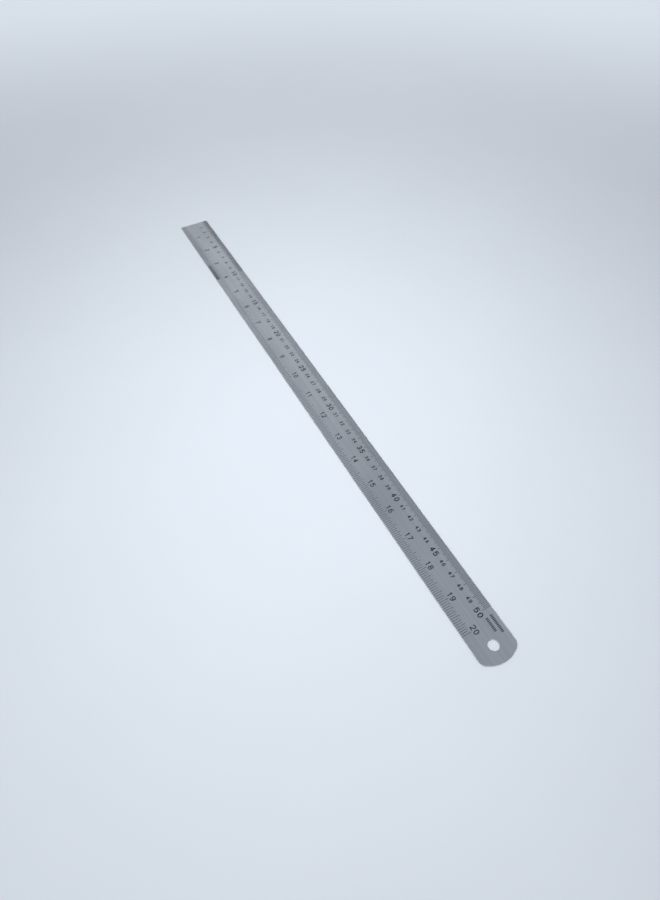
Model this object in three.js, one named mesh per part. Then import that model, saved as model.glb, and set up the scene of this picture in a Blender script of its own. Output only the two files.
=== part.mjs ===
// Half-metre steel ruler with a metric scale along one edge and an inch scale along the other.
// The ruler is one flat strip of stainless steel. It is square at the zero end, where both scales start,
// and rounded at the other end, which has a hole to hang it by.
//
// Millimetres. X runs along the strip from the zero end to the round end, Y runs across it from the inch
// edge to the metric edge, and Z is up out of the graduated face. The origin is under the strip's middle,
// on the surface that the ruler lies on.
import * as THREE from "three";

// Driving dimensions.
const overallLength = 533;
const stripWidth = 29;
const stripThickness = 1;
const endArcRadius = 22; // the shallow arc across the round end
const shoulderRadius = 5; // blends that arc into the long edges
const hangHoleDiameter = 7.5;
const hangHoleFromTip = 11.5; // from the tip of the round end to the hole's centre
const stepsPerArc = 32;

const stainlessSteel = new THREE.MeshStandardMaterial({
  name: "stainless_steel",
  color: 0xa9adb2,
  metalness: 1,
  roughness: 0.42,
});

// The strip seen from above. Both shoulders are arcs that are tangent to a long edge and to the end arc,
// so each one's centre is a shoulder radius in from the edge and an arc's difference away from the end
// arc's centre.
function stripOutline() {
  const zeroEndX = -overallLength / 2;
  const edgeY = stripWidth / 2;
  const endArcX = overallLength / 2 - endArcRadius;
  const shoulderY = edgeY - shoulderRadius;
  const shoulderAngle = Math.asin(shoulderY / (endArcRadius - shoulderRadius));
  const shoulderX = endArcX + (endArcRadius - shoulderRadius) * Math.cos(shoulderAngle);

  const outline = new THREE.Shape();
  outline.moveTo(zeroEndX, -edgeY);
  outline.lineTo(shoulderX, -edgeY);
  outline.absarc(shoulderX, -shoulderY, shoulderRadius, -Math.PI / 2, -shoulderAngle);
  outline.absarc(endArcX, 0, endArcRadius, -shoulderAngle, shoulderAngle);
  outline.absarc(shoulderX, shoulderY, shoulderRadius, shoulderAngle, Math.PI / 2);
  outline.lineTo(zeroEndX, edgeY);
  outline.closePath();
  return outline;
}

// The round hole on the strip's centre line.
function hangHole() {
  const holeX = overallLength / 2 - hangHoleFromTip;
  return new THREE.Path().absarc(holeX, 0, hangHoleDiameter / 2, 0, 2 * Math.PI, true);
}

// The blade: the outline less the hole, through the strip's thickness.
function blade() {
  const outline = stripOutline();
  outline.holes.push(hangHole());
  const geometry = new THREE.ExtrudeGeometry(outline, {
    depth: stripThickness,
    bevelEnabled: false,
    curveSegments: stepsPerArc / 2, // an arc gets two steps for each curve segment
  });
  const mesh = new THREE.Mesh(geometry, stainlessSteel);
  mesh.name = "blade";
  return mesh;
}

const steelRuler = new THREE.Group();
steelRuler.name = "steel_ruler";
steelRuler.add(blade());

export default steelRuler;
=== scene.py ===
import math
from collections import namedtuple

import bpy
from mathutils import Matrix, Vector
from mathutils.geometry import delaunay_2d_cdt


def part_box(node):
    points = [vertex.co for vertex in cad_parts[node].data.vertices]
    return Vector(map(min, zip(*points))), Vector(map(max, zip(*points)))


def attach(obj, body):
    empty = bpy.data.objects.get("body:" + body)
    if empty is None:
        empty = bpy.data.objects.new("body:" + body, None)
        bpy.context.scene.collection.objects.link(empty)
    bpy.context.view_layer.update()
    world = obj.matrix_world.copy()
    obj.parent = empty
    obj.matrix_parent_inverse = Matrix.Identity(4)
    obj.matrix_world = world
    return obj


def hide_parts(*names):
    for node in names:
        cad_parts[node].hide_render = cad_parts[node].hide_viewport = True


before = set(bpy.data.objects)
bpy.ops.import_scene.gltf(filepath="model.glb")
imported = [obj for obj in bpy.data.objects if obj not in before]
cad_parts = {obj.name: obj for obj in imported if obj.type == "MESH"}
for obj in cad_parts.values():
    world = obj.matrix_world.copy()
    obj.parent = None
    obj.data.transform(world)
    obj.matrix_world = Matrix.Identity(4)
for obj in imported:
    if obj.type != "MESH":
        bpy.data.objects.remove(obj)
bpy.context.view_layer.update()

# The looks of a half-metre steel ruler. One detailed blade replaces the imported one: its arrises are eased,
# and every graduation and figure is a shallow etched pocket in its top face. The black filling of the
# pockets is a set of thin closed pieces. Shapes are laid out in millimetres on the ruler: x from the zero
# end, y from the inch edge, z up from the surface that the ruler lies on. to_frame() turns them into metres
# in the frame.

blade_low, blade_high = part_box("blade")
MM = 0.001

# The blade, from its packed box and what the box can't tell.
length = (blade_high.x - blade_low.x) / MM
width = (blade_high.y - blade_low.y) / MM
thickness = (blade_high.z - blade_low.z) / MM
end_arc_radius = 22.0
shoulder_radius = 5.0
corner_radius = 0.5
hole_radius = 3.75
hole_from_tip = 11.5
hole_x = length - hole_from_tip
arris_radius = 0.12

# The etched marks. Each pocket's walls slope, and its filling lies a little below the face.
etch_depth = 0.05
wall_run = 0.035
fill_drop = 0.01
fill_dish = 0.004
fill_rim = 0.004
line_width = 0.26
line_start = 0.17

# Metric scale: half millimetres up to half_mm_end, then whole ones. Line lengths are from the metric edge.
metric_end = 500.0
half_mm_end = 100.0
half_mm_length = 3.9
mm_length = 5.2
five_mm_length = 6.3
cm_length = 7.3

# Inch scale: (first inch, last inch, parts to the inch) for each stretch, and the line's length from the
# inch edge for each fraction of an inch.
INCH = 25.4
inch_end = 20
inch_stretches = [(0, 3, 32), (3, 4, 64), (4, inch_end, 16)]
inch_line_lengths = {64: 3.3, 32: 4.3, 16: 5.5, 8: 6.2, 4: 6.9, 2: 7.4, 1: 7.4}

# Figures, upright when the metric edge is at the top. The distance is from a row's own edge to its middle.
Figures = namedtuple("Figures", "height width pitch stroke")
major_figures = Figures(4.3, 3.0, 4.0, 0.75)
minor_figures = Figures(2.9, 2.0, 2.7, 0.55)
inch_figures = Figures(4.2, 2.75, 3.5, 0.65)
figures_from_edge = 10.0

# Steel colours.
steel_dark = (0.6, 0.605, 0.61)
steel_light = (0.76, 0.765, 0.77)
steel_stained = (0.52, 0.525, 0.54)
steel_scratched = (0.88, 0.88, 0.885)

# Which darker, rougher patches the noise puts on the steel: with this seed they lie at the zero end and 350
# to 430 mm along.
darker_patch_seed = 250.2

# Two rows of plain bars near the hole: (first x, last x, distance from the metric edge).
bar_rows = [(505.0, 518.5, 3.9), (505.5, 516.0, 7.8)]
bar_width = 0.6
bar_height = 2.0
bar_pitch = 1.0

# Cool studio light.
light_tint = (0.93, 1.0, 1.085)
zenith_tint = (0.88, 1.0, 1.19)

# The range that most of a noise's values lie in.
NOISE_RANGE = (0.3, 0.7)


def to_frame(x, y, z):
    return (blade_low.x + x * MM, blade_low.y + y * MM, blade_low.z + z * MM)


def arc(cx, cy, rx, ry, start, end, step=12.0):
    """Points from start to end degrees round an ellipse, both ends included."""
    count = max(2, math.ceil(abs(end - start) / step))
    angles = [math.radians(start + (end - start) * i / count) for i in range(count + 1)]
    return [(cx + rx * math.cos(a), cy + ry * math.sin(a)) for a in angles]


def blade_outline(inset):
    """The blade's outline, anticlockwise, moved inward by inset."""
    reach = end_arc_radius - shoulder_radius
    shoulder_angle = math.degrees(math.asin((width / 2 - shoulder_radius) / reach))
    end_x = length - end_arc_radius
    shoulder_x = end_x + reach * math.cos(math.radians(shoulder_angle))
    corner = corner_radius - inset
    shoulder = shoulder_radius - inset
    end_arc = end_arc_radius - inset
    far_corner_y = width - corner_radius
    far_shoulder_y = width - shoulder_radius
    return [
        *arc(corner_radius, corner_radius, corner, corner, 180, 270, 15),
        *arc(shoulder_x, shoulder_radius, shoulder, shoulder, -90, -shoulder_angle, 4)[:-1],
        *arc(end_x, width / 2, end_arc, end_arc, -shoulder_angle, shoulder_angle, 1.5),
        *arc(shoulder_x, far_shoulder_y, shoulder, shoulder, shoulder_angle, 90, 4)[1:],
        *arc(corner_radius, far_corner_y, corner, corner, 90, 180, 15),
    ]


def hole_outline(inset):
    """The hang hole's rim, clockwise, moved inward into the steel by inset."""
    return arc(hole_x, width / 2, hole_radius + inset, hole_radius + inset, 360, 0, 5)[:-1]


# ---- Marks. Each is one or more strokes, and a stroke has a rim at the face and a floor in the pocket.

Stroke = namedtuple("Stroke", "group rim rim_hole floor floor_hole")


def shifted(points, offset, closed):
    """The points moved to the left of their own path by offset, with mitred corners."""
    count = len(points)
    moved = []
    for i, (x, y) in enumerate(points):
        before = points[i - 1] if closed or i > 0 else None
        after = points[(i + 1) % count] if closed or i < count - 1 else None
        normals = []
        for start, end in ((before, (x, y)), ((x, y), after)):
            if start and end:
                side = Vector((start[1] - end[1], end[0] - start[0]))
                normals.append(side.normalized())
        middle = sum(normals, Vector((0, 0))).normalized()
        reach = offset / middle.dot(normals[0])
        moved.append((x + middle.x * reach, y + middle.y * reach))
    return moved


def ribbon(path, half_width):
    """A closed outline round an open path, with round ends."""
    outline = []
    for points in (path, path[::-1]):
        side = shifted(points, -half_width, False)
        end = points[-1]
        angle = math.degrees(math.atan2(side[-1][1] - end[1], side[-1][0] - end[0]))
        outline += side + arc(*end, half_width, half_width, angle, angle + 180, 30)[1:-1]
    return outline


def open_stroke(group, path, stroke_width):
    half = stroke_width / 2
    return Stroke(group, ribbon(path, half), None, ribbon(path, half - wall_run), None)


def closed_stroke(group, loop, stroke_width):
    """A stroke along a loop that runs anticlockwise."""
    half = stroke_width / 2
    floor_half = half - wall_run
    return Stroke(
        group,
        shifted(loop, -half, True),
        shifted(loop, half, True),
        shifted(loop, -floor_half, True),
        shifted(loop, floor_half, True),
    )


def rectangle(x0, y0, x1, y1):
    return [(x0, y0), (x1, y0), (x1, y1), (x0, y1)]


def bar(group, x0, y0, x1, y1):
    floor = rectangle(x0 + wall_run, y0 + wall_run, x1 - wall_run, y1 - wall_run)
    return Stroke(group, rectangle(x0, y0, x1, y1), None, floor, None)


def metric_line(x, line_length):
    half = line_width / 2
    return bar("metric_graduations", x - half, width - line_length, x + half, width - line_start)


def inch_line(x, line_length):
    half = line_width / 2
    return bar("inch_graduations", x - half, line_start, x + half, line_length)


def metric_graduations():
    lines = []
    for half_mm in range(1, round(metric_end * 2) + 1):
        x = half_mm / 2
        if half_mm % 20 == 0:
            lines.append(metric_line(x, cm_length))
        elif half_mm % 10 == 0:
            lines.append(metric_line(x, five_mm_length))
        elif half_mm % 2 == 0:
            lines.append(metric_line(x, mm_length))
        elif x < half_mm_end:
            lines.append(metric_line(x, half_mm_length))
    return lines


def inch_graduations():
    lines = []
    for first, last, parts in inch_stretches:
        for i in range(first * parts + 1, last * parts + 1):
            fraction = parts // math.gcd(i, parts)
            lines.append(inch_line(i * INCH / parts, inch_line_lengths[fraction]))
    return lines


# Digits as centre lines in a box from -1 to 1 both ways. A path that ends where it starts is a loop.
def digit_paths(digit):
    bowl = arc(0, -0.42, 1, 0.58, 0, 360)
    stem = arc(0.3, -0.42, 1.3, 1.42, 66, 180)
    paths = {
        "0": [arc(0, 0, 1, 1, 0, 360)],
        "1": [[(0.15, -1), (0.15, 1)], [(0.15, 1), (-0.5, 0.5)]],
        "2": [arc(0, 0.42, 1, 0.58, 165, -32) + [(-1, -1)], [(-1, -1), (1, -1)]],
        "3": [arc(0, 0.5, 0.9, 0.5, 155, -90), arc(0, -0.5, 1, 0.5, 90, -155)],
        "4": [[(0.4, -1), (0.4, 1)], [(0.4, 1), (-1, -0.4)], [(-1, -0.4), (1, -0.4)]],
        "5": [[(0.85, 1), (-0.75, 1), (-0.9, 0.05)], arc(0, -0.34, 1, 0.66, 142, -152)],
        "6": [bowl, stem],
        "7": [[(-1, 1), (1, 1)], [(1, 1), (-0.35, -1)]],
        "8": [arc(0, 0.52, 0.86, 0.48, 0, 360), arc(0, -0.48, 1, 0.52, 0, 360)],
        "9": [[(-x, -y) for x, y in path] for path in (bowl, stem)],
    }
    return paths[digit]


def is_loop(path):
    return math.dist(path[0], path[-1]) < 1e-6


def number(group, value, x, y, figures):
    """The strokes of a whole number centred on a point."""
    text = str(value)
    half_width = (figures.width - figures.stroke) / 2
    half_height = (figures.height - figures.stroke) / 2
    strokes = []
    for i, digit in enumerate(text):
        centre = x + (i - (len(text) - 1) / 2) * figures.pitch
        for path in digit_paths(digit):
            placed = [(centre + u * half_width, y + v * half_height) for u, v in path]
            if is_loop(path):
                strokes.append(closed_stroke(group, placed[:-1], figures.stroke))
            else:
                strokes.append(open_stroke(group, placed, figures.stroke))
    return strokes


def metric_numerals():
    strokes = []
    for cm in range(1, round(metric_end / 10) + 1):
        figures = major_figures if cm % 5 == 0 else minor_figures
        strokes += number("metric_numerals", cm, cm * 10, width - figures_from_edge, figures)
    return strokes


def inch_numerals():
    strokes = []
    for inch in range(1, inch_end + 1):
        strokes += number("inch_numerals", inch, inch * INCH, figures_from_edge, inch_figures)
    return strokes


def plain_bars():
    """Two rows of upright bars, which say nothing, where a ruler carries its small print."""
    bars = []
    for first, last, from_edge in bar_rows:
        count = math.floor((last - first - bar_width) / bar_pitch) + 1
        y = width - from_edge
        for i in range(count):
            x = first + i * bar_pitch
            bars.append(bar("end_bars", x, y - bar_height / 2, x + bar_width, y + bar_height / 2))
    return bars


# ---- The top face: one flat triangulation that every mark's rim and floor is cut into.

TopFace = namedtuple("TopFace", "points triangles groups heights outer_ring hole_ring")


def covers(ids, outer, hole):
    return outer in ids and (hole is None or hole not in ids)


def cut_top_face(strokes):
    """Triangulates the top face round the marks, and gives each point its height below the face."""
    points = []
    loops = []

    def add_loop(loop):
        first = len(points)
        points.extend(Vector(p) for p in loop)
        loops.append(list(range(first, len(points))))
        return len(loops) - 1

    outer_id = add_loop(blade_outline(arris_radius))
    hole_id = add_loop(hole_outline(arris_radius)[::-1])
    owners = {}
    for stroke in strokes:
        ids = [None if loop is None else add_loop(loop) for loop in stroke[1:]]
        for loop_id in ids:
            if loop_id is not None:
                owners[loop_id] = (stroke.group, *ids)
    cut = delaunay_2d_cdt(points, [], loops, 1, 1e-7)
    cut_points, _, triangles, point_ids, _, loop_ids = cut

    kept = []
    groups = []
    levels = []
    for triangle, ids in zip(triangles, loop_ids):
        ids = set(ids)
        if hole_id in ids or outer_id not in ids:
            continue
        group = None
        level = "face"
        for loop_id in ids - {outer_id}:
            owner, rim, rim_hole, floor, floor_hole = owners[loop_id]
            if covers(ids, rim, rim_hole):
                group = owner
                level = "floor" if covers(ids, floor, floor_hole) or level == "floor" else "wall"
        kept.append(triangle)
        groups.append(group)
        levels.append(level)

    touching = [set() for _ in cut_points]
    for triangle, level in zip(kept, levels):
        for i in triangle:
            touching[i].add(level)
    depths = {"face": 0.0, "floor": etch_depth}
    heights = []
    for touched in touching:
        found = [depths[level] for level in ("face", "floor") if level in touched]
        heights.append(found[0] if found else etch_depth / 2)

    place = {}
    for i, ids in enumerate(point_ids):
        for given in ids:
            place[given] = i
    outer_ring = [place[i] for i in loops[outer_id]]
    hole_ring = [place[i] for i in reversed(loops[hole_id])]
    return TopFace(cut_points, kept, groups, heights, outer_ring, hole_ring)


# ---- Meshes.


def new_piece(name, points, faces, smooth, materials, face_materials=None):
    """A mesh piece on the ruler's body, from points in millimetres."""
    mesh = bpy.data.meshes.new(name)
    mesh.from_pydata([to_frame(*p) for p in points], [], faces)
    mesh.polygons.foreach_set("use_smooth", smooth)
    for material in materials:
        mesh.materials.append(material)
    if face_materials:
        mesh.polygons.foreach_set("material_index", face_materials)
    mesh.update()
    piece = bpy.data.objects.new(name, mesh)
    bpy.context.scene.collection.objects.link(piece)
    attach(piece, "root")
    return piece


def edge_profile(steps=5):
    """(inset, z) down the blade's edge, from just below the top face to the rim of the bottom one."""
    quarter = [math.radians(90 * i / steps) for i in range(steps + 1)]
    arris = [(arris_radius * (1 - math.sin(a)), arris_radius * (1 - math.cos(a))) for a in quarter]
    upper = [(inset, thickness - drop) for inset, drop in arris]
    lower = [(inset, thickness - z) for inset, z in upper[::-1]]
    return upper[1:] + lower


def build_blade(top, face_material, edge_material, back_material):
    points = [(p.x, p.y, thickness - depth) for p, depth in zip(top.points, top.heights)]
    faces = [tuple(t) for t in top.triangles]
    face_materials = [0] * len(faces)
    smooth = [False] * len(faces)
    bottom_rings = []
    for ring, outline in ((top.outer_ring, blade_outline), (top.hole_ring, hole_outline)):
        above = ring
        for inset, z in edge_profile():
            first = len(points)
            points += [(x, y, z) for x, y in outline(inset)]
            below = list(range(first, len(points)))
            for i in range(len(above)):
                j = (i + 1) % len(above)
                faces.append((above[i], below[i], below[j], above[j]))
                face_materials.append(1)
                smooth.append(True)
            above = below
        bottom_rings.append(above)

    numbers = bottom_rings[0] + bottom_rings[1][::-1]
    flat = [Vector(points[i][:2]) for i in numbers]
    loops = [list(range(len(bottom_rings[0]))), list(range(len(bottom_rings[0]), len(flat)))]
    _, _, triangles, point_ids, _, loop_ids = delaunay_2d_cdt(flat, [], loops, 1, 1e-7)
    for triangle, ids in zip(triangles, loop_ids):
        if 1 not in ids:
            faces.append(tuple(numbers[point_ids[i][0]] for i in reversed(triangle)))
            face_materials.append(2)
            smooth.append(False)

    materials = (face_material, edge_material, back_material)
    piece = new_piece("blade_etched", points, faces, smooth, materials, face_materials)
    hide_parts("blade")
    return piece


def build_fill(name, top, material):
    """The black filling of one group's pockets: a thin closed body in each, a little below the face."""
    triangles = [t for t, group in zip(top.triangles, top.groups) if group == name]
    used = sorted({i for t in triangles for i in t})
    upper = {i: k for k, i in enumerate(used)}
    lower = {i: k + len(used) for k, i in enumerate(used)}
    above = []
    below = []
    for i in used:
        p = top.points[i]
        dish = fill_dish if top.heights[i] == etch_depth else 0.0
        above.append((p.x, p.y, thickness - fill_drop - dish))
        below.append((p.x, p.y, thickness - max(top.heights[i], fill_drop + fill_rim)))
    sides = {(t[i], t[(i + 1) % 3]) for t in triangles for i in range(3)}
    faces = [tuple(upper[i] for i in t) for t in triangles]
    faces += [tuple(lower[i] for i in reversed(t)) for t in triangles]
    faces += [(upper[j], upper[i], lower[i], lower[j]) for i, j in sorted(sides) if (j, i) not in sides]
    piece = new_piece(name, above + below, faces, [False] * len(faces), [material])
    return piece


# ---- Materials. Every pattern is laid out on the ruler's own coordinates, in metres.


def node(tree, kind, output=0, inputs=None, **settings):
    """Adds a shader node, sets or links its inputs, and returns one of its outputs."""
    made = tree.nodes.new("ShaderNode" + kind)
    for name, value in settings.items():
        setattr(made, name, value)
    for name, value in (inputs or {}).items():
        if isinstance(value, bpy.types.NodeSocket):
            tree.links.new(value, made.inputs[name])
        else:
            made.inputs[name].default_value = value
    return made.outputs[output]


def maths(tree, operation, a, b=0.0):
    return node(tree, "Math", inputs={0: a, 1: b}, operation=operation)


def noise(tree, per_metre, turn=0.0, detail=2.0, seed=0.0):
    """Noise from 0 to 1 with that many features per metre each way, turned about Z by turn degrees."""
    place = node(tree, "TexCoord", "Object")
    turned = node(tree, "Mapping", inputs={"Vector": place, "Rotation": (0, 0, math.radians(turn))})
    stretch = {"Vector": turned, "Scale": per_metre, "Location": (seed, seed, 0)}
    stretched = node(tree, "Mapping", inputs=stretch)
    return node(tree, "TexNoise", inputs={"Vector": stretched, "Scale": 1.0, "Detail": detail})


def ramp(tree, value, low, high, to_low=0.0, to_high=1.0):
    """value moved smoothly from the range low to high onto the range to_low to to_high."""
    inputs = {"Value": value, "From Min": low, "From Max": high, "To Min": to_low, "To Max": to_high}
    return node(tree, "MapRange", inputs=inputs, interpolation_type="SMOOTHSTEP")


def blend(tree, share, colour_a, colour_b):
    """colour_a where share is 0 and colour_b where it is 1."""
    made = tree.nodes.new("ShaderNodeMix")
    made.data_type = "RGBA"
    tree.links.new(share, made.inputs[0])
    for socket, value in ((made.inputs[6], colour_a), (made.inputs[7], colour_b)):
        if isinstance(value, bpy.types.NodeSocket):
            tree.links.new(value, socket)
        else:
            socket.default_value = (*value, 1)
    return made.outputs[2]


def new_material(name, metallic):
    material = bpy.data.materials.new(name)
    material.use_nodes = True
    shader = material.node_tree.nodes["Principled BSDF"]
    shader.inputs["Metallic"].default_value = metallic
    return material, material.node_tree, shader


def finish_material(tree, shader, colour, roughness, height, depth):
    """Plugs in colour and roughness, and height as a bump of that depth in millimetres."""
    tree.links.new(colour, shader.inputs["Base Color"])
    tree.links.new(roughness, shader.inputs["Roughness"])
    bump = node(tree, "Bump", inputs={"Height": height, "Strength": 1.0, "Distance": depth * MM})
    tree.links.new(bump, shader.inputs["Normal"])


def scratches(tree, turn, per_metre, seed, rarity):
    """Hairline scratches at one angle, in patches: 0 on clean steel and 1 in a scratch."""
    edge_softness = 0.04
    lines = ramp(tree, noise(tree, per_metre, turn, 1.0, seed), rarity, rarity + edge_softness)
    patches = ramp(tree, noise(tree, (60, 60, 60), turn, 1.0, seed + 3), 0.45, 0.62)
    return maths(tree, "MULTIPLY", lines, patches)


def brushed_steel(name, wear):
    """Stainless strip with a satin grain along its length. wear from 0 to 1 adds scratches and stains."""
    material, tree, shader = new_material(name, 1.0)
    hairs = maths(tree, "MULTIPLY", noise(tree, (70, 9000, 9000), detail=3.0), 0.35)
    strands = maths(tree, "MULTIPLY", noise(tree, (14, 2200, 2200), seed=5.0), 0.35)
    bands = maths(tree, "MULTIPLY", noise(tree, (2.5, 420, 420), seed=11.0), 0.3)
    grain = maths(tree, "ADD", maths(tree, "ADD", hairs, strands), bands)
    clouds = noise(tree, (22, 38, 38), detail=3.0, seed=17.0)
    darker_patches = ramp(tree, noise(tree, (9, 18, 18), seed=darker_patch_seed), 0.46, 0.66)

    more_scratches = 0.05 * wear
    marks = scratches(tree, 17, (45, 5200, 5200), 1.0, 0.72 - more_scratches)
    for turn, per_metre, seed, rarity in (
        (-31, (60, 6100, 6100), 8.0, 0.73),
        (74, (90, 5600, 5600), 21.0, 0.74),
    ):
        others = scratches(tree, turn, per_metre, seed, rarity - more_scratches)
        marks = maths(tree, "MAXIMUM", marks, others)

    colour = blend(tree, ramp(tree, grain, *NOISE_RANGE), steel_dark, steel_light)
    stains_and_dark_patches = ramp(tree, clouds, 0.4, 0.75, 0.0, 0.15 + 0.4 * wear)
    # Besides the stains from the clouds, the darker patches also pull the colour towards the stained tone,
    # and below they make the steel a little rougher.
    stains_and_dark_patches = maths(tree, "MAXIMUM", stains_and_dark_patches, maths(tree, "MULTIPLY", darker_patches, 0.55))
    colour = blend(tree, stains_and_dark_patches, colour, steel_stained)
    colour = blend(tree, maths(tree, "MULTIPLY", marks, 0.6), colour, steel_scratched)

    roughness = ramp(tree, grain, *NOISE_RANGE, 0.45, 0.33)
    roughness = maths(tree, "ADD", roughness, ramp(tree, clouds, 0.35, 0.7, -0.03, 0.06))
    roughness = maths(tree, "ADD", roughness, maths(tree, "MULTIPLY", darker_patches, 0.05))
    roughness = maths(tree, "SUBTRACT", roughness, maths(tree, "MULTIPLY", marks, 0.08))

    height = maths(tree, "SUBTRACT", grain, maths(tree, "MULTIPLY", marks, 0.5))
    finish_material(tree, shader, colour, roughness, height, depth=0.008)
    return material


def sheared_steel():
    """The blanked edge: burnished above, where the punch cut, and torn and duller below."""
    material, tree, shader = new_material("sheared_steel", 1.0)
    streaks = noise(tree, (2600, 2600, 260), detail=2.0)
    grit = noise(tree, (5000, 5000, 5000), detail=3.0, seed=4.0)
    place = node(tree, "SeparateXYZ", "Z", {"Vector": node(tree, "TexCoord", "Object")})
    wander = maths(tree, "MULTIPLY", noise(tree, (300, 300, 0), seed=9.0), 0.4 * MM)
    torn = ramp(tree, maths(tree, "ADD", place, wander), 0.48 * MM, 0.6 * MM, 1.0, 0.0)
    colour = blend(tree, ramp(tree, streaks, *NOISE_RANGE), steel_dark, steel_light)
    colour = blend(tree, maths(tree, "MULTIPLY", torn, 0.7), colour, steel_stained)
    roughness = ramp(tree, torn, 0.0, 1.0, 0.3, 0.55)
    height = maths(tree, "ADD", streaks, maths(tree, "MULTIPLY", torn, grit))
    finish_material(tree, shader, colour, roughness, height, depth=0.01)
    return material


def black_fill():
    """Matte black paint wiped into the etching, with dull patches and a few worn specks."""
    material, tree, shader = new_material("black_fill", 0.0)
    cloud = noise(tree, (160, 160, 160), detail=3.0)
    speckle = noise(tree, (3500, 3500, 3500), detail=2.0, seed=6.0)
    worn = maths(tree, "MULTIPLY", ramp(tree, speckle, 0.66, 0.72), ramp(tree, cloud, 0.45, 0.65))
    shader.inputs["Specular IOR Level"].default_value = 0.3
    colour = blend(tree, ramp(tree, cloud, *NOISE_RANGE), (0.009, 0.009, 0.01), (0.022, 0.022, 0.024))
    colour = blend(tree, worn, colour, (0.12, 0.12, 0.125))
    roughness = ramp(tree, cloud, *NOISE_RANGE, 0.55, 0.72)
    finish_material(tree, shader, colour, roughness, speckle, depth=0.006)
    return material


def pale_floor():
    """Smooth matte card. Its colour is painted lighter away from the ruler: painted light where the pool of
    light doesn't reach.
    """
    material, tree, shader = new_material("pale_floor", 0.0)
    shader.inputs["Specular IOR Level"].default_value = 0.1
    cloud = noise(tree, (9, 9, 9), detail=3.0)
    grit = noise(tree, (2500, 2500, 2500), detail=2.0)
    painted_light_distance = node(tree, "VectorMath", "Value", {0: node(tree, "TexCoord", "Object")}, operation="LENGTH")
    colour = blend(tree, ramp(tree, cloud, 0.2, 0.8), (0.735, 0.735, 0.735), (0.75, 0.75, 0.75))
    # Painted light: the card's colour grows lighter with distance from the middle, in place of light further
    # out.
    colour = blend(tree, ramp(tree, painted_light_distance, 0.45, 1.1), colour, (0.93, 0.93, 0.93))
    roughness = ramp(tree, grit, *NOISE_RANGE, 0.85, 0.95)
    finish_material(tree, shader, colour, roughness, grit, depth=0.005)
    return material


# ---- The picture.


def build_floor(material):
    """A floor far wider than the picture, a hair below the ruler so that the two don't share a plane."""
    mesh = bpy.data.meshes.new("floor")
    reach = 60.0
    z = blade_low.z - 0.02 * MM
    corners = [(-reach, -reach, z), (reach, -reach, z), (reach, reach, z), (-reach, reach, z)]
    mesh.from_pydata(corners, [], [(0, 1, 2, 3)])
    mesh.materials.append(material)
    floor = bpy.data.objects.new("floor", mesh)
    bpy.context.scene.collection.objects.link(floor)


def area_light(name, place, turn, size, power):
    """A rectangular light, turned by Euler angles in degrees. Unturned it shines straight down."""
    light = bpy.data.lights.new(name, "AREA")
    light.shape = "RECTANGLE"
    light.size, light.size_y = size
    light.energy = power
    light.color = light_tint
    lamp = bpy.data.objects.new(name, light)
    lamp.location = place
    lamp.rotation_euler = [math.radians(angle) for angle in turn]
    bpy.context.scene.collection.objects.link(lamp)
    return lamp


def build_lights():
    """A pool of light from above, a wide one beyond the zero end, and a softbox to one side.

    The steel doesn't mirror the two pools, which are there for the floor.
    """
    pool = area_light("pool", place=(0.05, -0.03, 0.515), turn=(0, 0, 59), size=(0.1, 0.5), power=1.98)
    far_pool = area_light("far_pool", place=(-0.85, 0.49, 0.9), turn=(0, 0, 61), size=(2.0, 0.9), power=1.7)
    far_pool.data.spread = math.radians(70)
    for lamp in (pool, far_pool):
        lamp.visible_glossy = False
    area_light("softbox", place=(0.9, -1.8, 1.6), turn=(52, 0, 27), size=(1.2, 1.2), power=2.0)


def build_camera():
    camera = bpy.data.objects.new("camera", bpy.data.cameras.new("camera"))
    camera.data.lens = 23.7
    camera.data.clip_start = 0.01
    place = Vector((0.3137, -0.1489, 0.3715))
    target = Vector((0.0725, -0.0169, 0.001))
    camera.location = place
    camera.rotation_euler = (target - place).to_track_quat("-Z", "Y").to_euler()
    bpy.context.scene.collection.objects.link(camera)
    bpy.context.scene.camera = camera


def build_world():
    """An even, cool studio, as dim as the floor at the horizon and darker and bluer straight above."""
    world = bpy.data.worlds.new("studio")
    bpy.context.scene.world = world
    world.use_nodes = True
    tree = world.node_tree
    background = tree.nodes["Background"]
    up = node(tree, "SeparateXYZ", "Z", {"Vector": node(tree, "TexCoord", "Generated")})
    horizon_strength = 0.47
    sky_strength = 0.6
    zenith_share = 0.6
    zenith = (0.66, 0.9)
    sky = ramp(tree, up, 0.05, 0.4, horizon_strength, sky_strength)
    strength = maths(tree, "MULTIPLY", sky, ramp(tree, up, *zenith, 1.0, zenith_share))
    colour = blend(tree, ramp(tree, up, *zenith), light_tint, zenith_tint)
    tree.links.new(strength, background.inputs["Strength"])
    tree.links.new(colour, background.inputs["Color"])


strokes = [
    *metric_graduations(),
    *inch_graduations(),
    *metric_numerals(),
    *inch_numerals(),
    *plain_bars(),
]
top_face = cut_top_face(strokes)
face_steel = brushed_steel("steel_face", wear=0.2)
edge_steel = sheared_steel()
back_steel = brushed_steel("steel_back", wear=0.8)
build_blade(top_face, face_steel, edge_steel, back_steel)
fill = black_fill()
for group in ("metric_graduations", "inch_graduations", "metric_numerals", "inch_numerals", "end_bars"):
    build_fill(group, top_face, fill)

build_floor(pale_floor())
build_world()
build_lights()
build_camera()
bpy.context.scene.view_settings.view_transform = "Standard"
